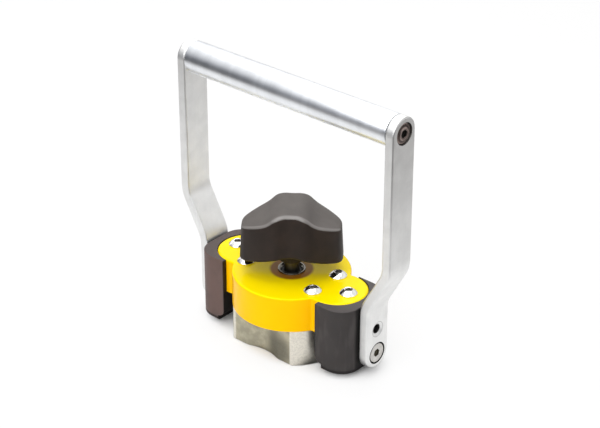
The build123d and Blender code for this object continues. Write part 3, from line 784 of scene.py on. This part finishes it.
class LIFTER_OT_knob(bpy.types.Operator):
    """Finish the winged knob"""

    bl_idname = "lifter.knob"
    bl_label = "Knob"

    def execute(self, context):
        coat(moulded_plastic(context.scene.lifter_body.knob_colour), "knob")
        return {"FINISHED"}


class LIFTER_OT_hub(bpy.types.Operator):
    """Finish the shaft and model the bush and the lipped seal round it"""

    bl_idname = "lifter.hub"
    bl_label = "Shaft hub"

    def bush(self):
        """A sleeve with the seal's seat in it and a flared mouth above."""
        outer, top, low = BUSH_HIGH.x, BUSH_HIGH.z, BUSH_LOW.z
        seat, floor, mouth = SEAL_HIGH.x + 0.05 * MM, SEAL_LOW.z, SEAL_HIGH.z
        return turned_ring([
            (SHAFT_BORE, low), (outer, low), (outer, top), (seat + top - mouth, top), (seat, mouth),
            (seat, floor), (SHAFT_BORE, floor),
        ], HUB_SEGMENTS, 0.22 * MM)

    def seal(self):
        """A ring with a raised lip inside and out, and a groove between them."""
        outer, top, low = SEAL_HIGH.x, SEAL_HIGH.z, SEAL_LOW.z
        groove = top - 0.6 * MM
        return turned_ring([
            (SHAFT_BORE, low), (outer, low), (outer, top - 0.5 * MM), (outer - 0.4 * MM, top),
            (outer - 0.8 * MM, groove), (SHAFT_BORE + 0.5 * MM, groove), (SHAFT_BORE, top),
        ], HUB_SEGMENTS, 0.12 * MM)

    def execute(self, context):
        settings = context.scene.lifter_body
        coat(faced_steel("shaft_steel", SHAFT_STEEL, ORIGIN, ABOUT_Z, 0.25), "drive_shaft")
        ring = faced_steel("bush_metal", settings.hub_colour, ORIGIN, ABOUT_Z, 0.18)
        finish_piece(self.bush(), "hub_ring", (ring,), "base", "bush_metal", "shaft_bush")
        rubber = dull_polymer("seal_rubber", SEAL_RUBBER, 0.45)
        finish_piece(self.seal(), "hub_seal", (rubber,), "base", "seal_rubber", "shaft_seal")
        return {"FINISHED"}


class LIFTER_OT_end_blocks(bpy.types.Operator):
    """Finish the two end blocks"""

    bl_idname = "lifter.end_blocks"
    bl_label = "End blocks"

    def execute(self, context):
        coat(block_coat(context.scene.lifter_body.block_colour), "right_end_block", "left_end_block")
        return {"FINISHED"}


class LIFTER_OT_arms(bpy.types.Operator):
    """Finish the two cranked arms"""

    bl_idname = "lifter.arms"
    bl_label = "Arms"

    def execute(self, context):
        coat(drawn_aluminium(context.scene.lifter_handle.arm_colour), "right_arm", "left_arm")
        return {"FINISHED"}


class LIFTER_OT_grip(bpy.types.Operator):
    """Model the turned grip tube and its two stepped screws"""

    bl_idname = "lifter.grip"
    bl_label = "Grip"

    def tube(self, settings):
        """The tube, from arm to arm."""
        outer = (GRIP_HIGH.z - GRIP_LOW.z) / 2
        inner = outer - settings.tube_wall
        end = GRIP_HIGH.x
        section = [(inner, -end), (outer, -end), (outer, end), (inner, end)]
        bm = turned_ring(section, settings.tube_segments, 0.35 * MM)
        bmesh.ops.transform(bm, matrix=at_end(0, GRIP_Z), verts=bm.verts[:])
        return bm

    def screw(self, settings):
        """A stepped flush head with its face on the origin plane, and its shank below."""
        flange = (GRIP_SCREW_HIGH.z - GRIP_SCREW_LOW.z) / 2
        tip = GRIP_HIGH.x - GRIP_SCREW_BITE - GRIP_SCREW_HIGH.x
        seat, shoulder, edge = -3.0 * MM, -2.1 * MM, 1.4 * MM
        turns = [radians(15 * i) for i in range(7)]
        brim = [(flange - edge + edge * cos(t), shoulder + edge * sin(t)) for t in turns]
        boss = [(r * MM, z * MM) for r, z in ((5.4, -0.7), (5.2, -0.5), (5.2, -0.35), (4.7, 0))]
        profile = [
            *screw_tip(SHANK_RADIUS, tip), (SHANK_RADIUS, seat), (flange, seat), *brim, *boss,
            (settings.socket * SOCKET_MOUTH, 0),
        ]
        chamfer = settings.socket_chamfer
        return socket_screw(
            profile, FLUSH_SEGMENTS, settings.socket, chamfer, settings.socket_depth - chamfer,
        )

    def execute(self, context):
        settings = context.scene.lifter_handle
        skin = turned_aluminium(settings.grip_colour)
        finish_piece(self.tube(settings), "turned_grip", (skin,), "handle", "grip_aluminium", "grip_tube")
        # Second material: painted shade inside the sockets
        bore = plain_metal("grip_socket", GRIP_SOCKET, 0.35)
        dark = faced_steel(
            "grip_screw_steel", settings.grip_screw_colour, (0, 0, GRIP_Z), ABOUT_X, 0.20,
            GRIP_SCREW_BANDS,
        )
        bm = self.screw(settings)
        copies(bm, [at_end(GRIP_SCREW_HIGH.x, GRIP_Z, 10), at_end(-GRIP_SCREW_HIGH.x, GRIP_Z, 24)])
        finish_piece(bm, "grip_end_screws", (dark, bore), "handle", "grip_screw_steel", "grip_screws")
        coat(plain_metal("plug_steel", PLAIN_STEEL, 0.35), "tube_plugs")
        return {"FINISHED"}


class LIFTER_OT_pivots(bpy.types.Operator):
    """Model the flush pivot screws and finish their washers and bushes"""

    bl_idname = "lifter.pivots"
    bl_label = "Pivots"

    def screw(self, settings):
        """A flush disc head with its face on the origin plane, a shoulder and a thread."""
        head = (PIVOT_HIGH.z - PIVOT_LOW.z) / 2
        tip = PIVOT_LOW.x - PIVOT_HIGH.x
        thread_end = tip + PIVOT_THREAD
        shoulder, thick, bevel = 5.0 * MM, 2.8 * MM, 0.5 * MM
        profile = [
            *screw_tip(SHANK_RADIUS, tip), (SHANK_RADIUS, thread_end), (shoulder, thread_end),
            (shoulder, -thick), (head, -thick), (head, -bevel), (head - bevel, 0),
            (settings.socket * SOCKET_MOUTH, 0),
        ]
        chamfer = settings.socket_chamfer
        return socket_screw(
            profile, FLUSH_SEGMENTS, settings.socket, chamfer, settings.socket_depth - chamfer,
        )

    def execute(self, context):
        settings = context.scene.lifter_handle
        # Second material: painted shade inside the sockets
        bore = plain_metal("pivot_socket", PIVOT_SOCKET, 0.35)
        steel = faced_steel(
            "pivot_steel", settings.pivot_colour, (0, 0, PIVOT_Z), ABOUT_X, 0.30, PIVOT_SCREW_BANDS,
        )
        for name, node, x, turn in (
            ("right_pivot_disc", "right_pivot_screw", PIVOT_HIGH.x, 8),
            ("left_pivot_disc", "left_pivot_screw", -PIVOT_HIGH.x, 37),
        ):
            bm = self.screw(settings)
            bmesh.ops.transform(bm, matrix=at_end(x, PIVOT_Z, turn), verts=bm.verts[:])
            finish_piece(bm, name, (steel, bore), "base", "pivot_steel", node)
        coat(dull_polymer("washer_nylon", WASHER_NYLON, 0.45), "friction_washers")
        coat(plain_metal("pivot_bush_metal", BRONZE, 0.25), "pivot_bushes")
        return {"FINISHED"}


class LIFTER_OT_inner_works(bpy.types.Operator):
    """Finish the magnets, pins and inserts inside"""

    bl_idname = "lifter.inner_works"
    bl_label = "Inner works"

    def execute(self, context):
        coat(plain_metal("magnet_nickel", NICKEL, 0.20), "lower_magnet", "upper_magnet")
        coat(dull_polymer("slip_film", SLIP_FILM, 0.35), "slip_disc")
        coat(
            plain_metal("insert_steel", PLAIN_STEEL, 0.35),
            "magnet_carrier", "drive_pins", "stop_pin", "knob_insert", "grub_screw",
            "lobe_inserts", "pivot_inserts",
        )
        coat(dull_polymer("lock_thread", LOCK_THREAD, 0.40), "lock_inserts")
        coat(plain_metal("thrust_metal", BRONZE, 0.28), "thrust_washer")
        return {"FINISHED"}


class LIFTER_OT_stage(bpy.types.Operator):
    """Set the floor, the soft light and the camera"""

    bl_idname = "lifter.stage"
    bl_label = "Stage"

    def prop(self, bm, name, material):
        """A stage object of a bmesh."""
        piece = new_object(bm, name, (material,))
        return piece

    def sheet(self, size, height):
        """A level square sheet at a height."""
        bm = bmesh.new()
        bmesh.ops.create_grid(bm, x_segments=8, y_segments=8, size=size)
        bmesh.ops.translate(bm, verts=bm.verts[:], vec=(0, 0, height))
        return bm

    def floor(self, settings):
        """White paper that glows where it is seen, but for an oval that takes the lifter's shadow."""
        f = Finish("stage_floor")
        paper = f.noise(4 * MM, 3.0)
        tone = f.mix(paper, shade(settings.floor_colour, 0.99), settings.floor_colour)
        matt = f.node("ShaderNodeBsdfDiffuse", {}, {"Color": tone})
        glow = f.node("ShaderNodeEmission", {}, {"Color": WHITE, "Strength": 1.0})
        far = f.spread(f.reach(SHADOW_OVAL), 0.8, 1.15)
        paint = f.blend(f.seen() * far * 0.80, matt, glow)
        self.prop(self.sheet(FLOOR_SIZE, -FLOOR_DROP), "floor", paint)

    def shade_paint(self, name, colour, full, none, scale=ALONG_Z, centre=ORIGIN):
        """An unlit colour that fades with the scaled distance from a centre, from full to none."""
        f = Finish(name)
        weave = f.noise(50 * MM, 2.0)
        tone = f.mix(weave, shade(colour, 0.9), shade(colour, 1.1))
        dark = f.node("ShaderNodeEmission", {}, {"Color": tone, "Strength": 1.0})
        clear = f.node("ShaderNodeBsdfTransparent", {}, {})
        return f.blend(f.spread(f.reach(scale, centre), none, full), clear, dark)

    def reflection_card(self, bm, name, material):
        """A card that only reflections see."""
        card = self.prop(bm, name, material)
        card.visible_camera = False
        card.visible_diffuse = False
        card.visible_shadow = False

    def wall(self, name, start, turn, height, material, radius=ROOM_RADIUS):
        """A curved card round the lifter, from one bearing through a turn, both in degrees."""
        bm = bmesh.new()
        foot = Vector((radius * cos(radians(start)), radius * sin(radians(start)), 0))
        ends = [bm.verts.new(foot), bm.verts.new(foot + Vector((0, 0, height)))]
        edge = bm.edges.new(ends)
        bmesh.ops.spin(
            bm, geom=ends + [edge], cent=ORIGIN, axis=ALONG_Z, angle=radians(turn), steps=32,
            use_merge=False, use_duplicate=False,
        )
        self.reflection_card(bm, name, material)

    def cards(self):
        """The unlit room round the stage: walls, dim floor further out and the shade under the lifter."""
        front = self.shade_paint("front_shade", (0.22, 0.23, 0.26), 0.35, 2.2)
        self.wall("front_wall", 165, 200, 2.4, front)
        corner = self.shade_paint("corner_shade", CORNER_DARK, 0.3, 0.85, ALL_ROUND, (-1.70, -1.33, 0.1))
        self.wall("dark_corner", 190, 60, 1.2, corner, ROOM_RADIUS - 0.04)
        back = self.shade_paint("back_shade", (0.80, 0.80, 0.82), 0.1, 0.9)
        self.wall("back_wall", 5, 160, 0.9, back)
        dim = self.shade_paint("floor_shade", (0.21, 0.20, 0.195), 0.78, 0.30, ABOUT_Z, (-0.2, 0.1, 0))
        self.reflection_card(self.sheet(ROOM_RADIUS, 0.1 * MM), "dim_floor", dim)
        far = self.shade_paint("far_shade", CORNER_DARK, 0.45, 0.8, ABOUT_Z, (-1.25, -0.9, 0))
        self.reflection_card(self.sheet(ROOM_RADIUS, 0.15 * MM), "dark_floor_corner", far)
        under = self.shade_paint("under_shade", (0.03, 0.03, 0.03), 0.85, 1.2, UNDER_OVAL)
        self.reflection_card(self.sheet(0.13, 0.2 * MM), "shade_under", under)

    def soft_box(self, name, place, size, power):
        """A rectangular soft light aimed at the lifter."""
        lamp = bpy.data.lights.new(name, "AREA")
        lamp.shape = "RECTANGLE"
        lamp.size, lamp.size_y = size
        lamp.energy = power
        box = bpy.data.objects.new(name, lamp)
        box.location = place
        box.rotation_euler = (Vector(LIGHT_AIM) - Vector(place)).to_track_quat("-Z", "Y").to_euler()
        bpy.context.scene.collection.objects.link(box)

    def sky(self, settings):
        """White where it is seen, and dimmer as a light."""
        f = Finish("studio", bpy.data.worlds)
        even = f.node("ShaderNodeBackground", {}, {"Color": WHITE, "Strength": settings.sky_light})
        bright = f.node("ShaderNodeBackground", {}, {"Color": WHITE, "Strength": 1.0})
        bpy.context.scene.world = f.blend(f.seen(), even, bright, "ShaderNodeOutputWorld")

    def camera(self, settings):
        """The camera of the photo, fitted to its outlines."""
        a, e = settings.azimuth, settings.elevation
        back = Vector((sin(a) * cos(e), -cos(a) * cos(e), sin(e)))
        lens = bpy.data.cameras.new("photo_camera")
        lens.lens = settings.lens
        lens.sensor_width = 36.0
        lens.clip_start, lens.clip_end = 0.05, 50.0
        camera = bpy.data.objects.new("photo_camera", lens)
        place = Matrix.Translation(Vector(settings.target) + back * settings.distance)
        aim = (-back).to_track_quat("-Z", "Y").to_matrix().to_4x4()
        camera.matrix_world = place @ aim @ Matrix.Rotation(settings.roll, 4, "Z")
        bpy.context.scene.collection.objects.link(camera)
        bpy.context.scene.camera = camera

    def execute(self, context):
        settings = context.scene.lifter_stage
        self.floor(settings)
        self.cards()
        self.sky(settings)
        self.soft_box("top_box", (-0.15, 0.1, 1.6), (1.6, 1.6), settings.top_light)
        self.soft_box("back_box", (-1.2, 1.3, 1.75), (2.1, 1.3), settings.back_light)
        self.soft_box("front_box", (0.35, -1.35, 1.25), (2.2, 1.6), settings.front_light)
        self.camera(settings)
        context.scene.view_settings.view_transform = "Standard"
        return {"FINISHED"}


OPERATORS = (
    LIFTER_OT_stage,
    LIFTER_OT_pole_body,
    LIFTER_OT_lid,
    LIFTER_OT_lid_screws,
    LIFTER_OT_knob,
    LIFTER_OT_hub,
    LIFTER_OT_end_blocks,
    LIFTER_OT_arms,
    LIFTER_OT_grip,
    LIFTER_OT_pivots,
    LIFTER_OT_inner_works,
)

SETTINGS = {
    "lifter_lid": LidSettings,
    "lifter_body": BodySettings,
    "lifter_handle": HandleSettings,
    "lifter_stage": StageSettings,
}


class LIFTER_PT_pieces(bpy.types.Panel):
    """Lists the lifter's pieces in the sidebar"""

    bl_idname = "LIFTER_PT_pieces"
    bl_label = "Lifter"
    bl_space_type = "VIEW_3D"
    bl_region_type = "UI"
    bl_category = "Lifter"

    def draw(self, context):
        layout = self.layout
        for operator in OPERATORS:
            layout.operator(operator.bl_idname)
        for name, group in SETTINGS.items():
            box = layout.box()
            for prop in group.__annotations__:
                box.prop(getattr(context.scene, name), prop)


def register():
    for name, group in SETTINGS.items():
        bpy.utils.register_class(group)
        setattr(bpy.types.Scene, name, PointerProperty(type=group))
    for operator in OPERATORS:
        bpy.utils.register_class(operator)
    bpy.utils.register_class(LIFTER_PT_pieces)


def unregister():
    bpy.utils.unregister_class(LIFTER_PT_pieces)
    for operator in reversed(OPERATORS):
        bpy.utils.unregister_class(operator)
    for name, group in SETTINGS.items():
        delattr(bpy.types.Scene, name)
        bpy.utils.unregister_class(group)


def main():
    register()
    bpy.ops.lifter.stage()
    bpy.ops.lifter.pole_body()
    bpy.ops.lifter.lid()
    bpy.ops.lifter.lid_screws()
    bpy.ops.lifter.knob()
    bpy.ops.lifter.hub()
    bpy.ops.lifter.end_blocks()
    bpy.ops.lifter.arms()
    bpy.ops.lifter.grip()
    bpy.ops.lifter.pivots()
    bpy.ops.lifter.inner_works()


if __name__ == "__main__":
    main()
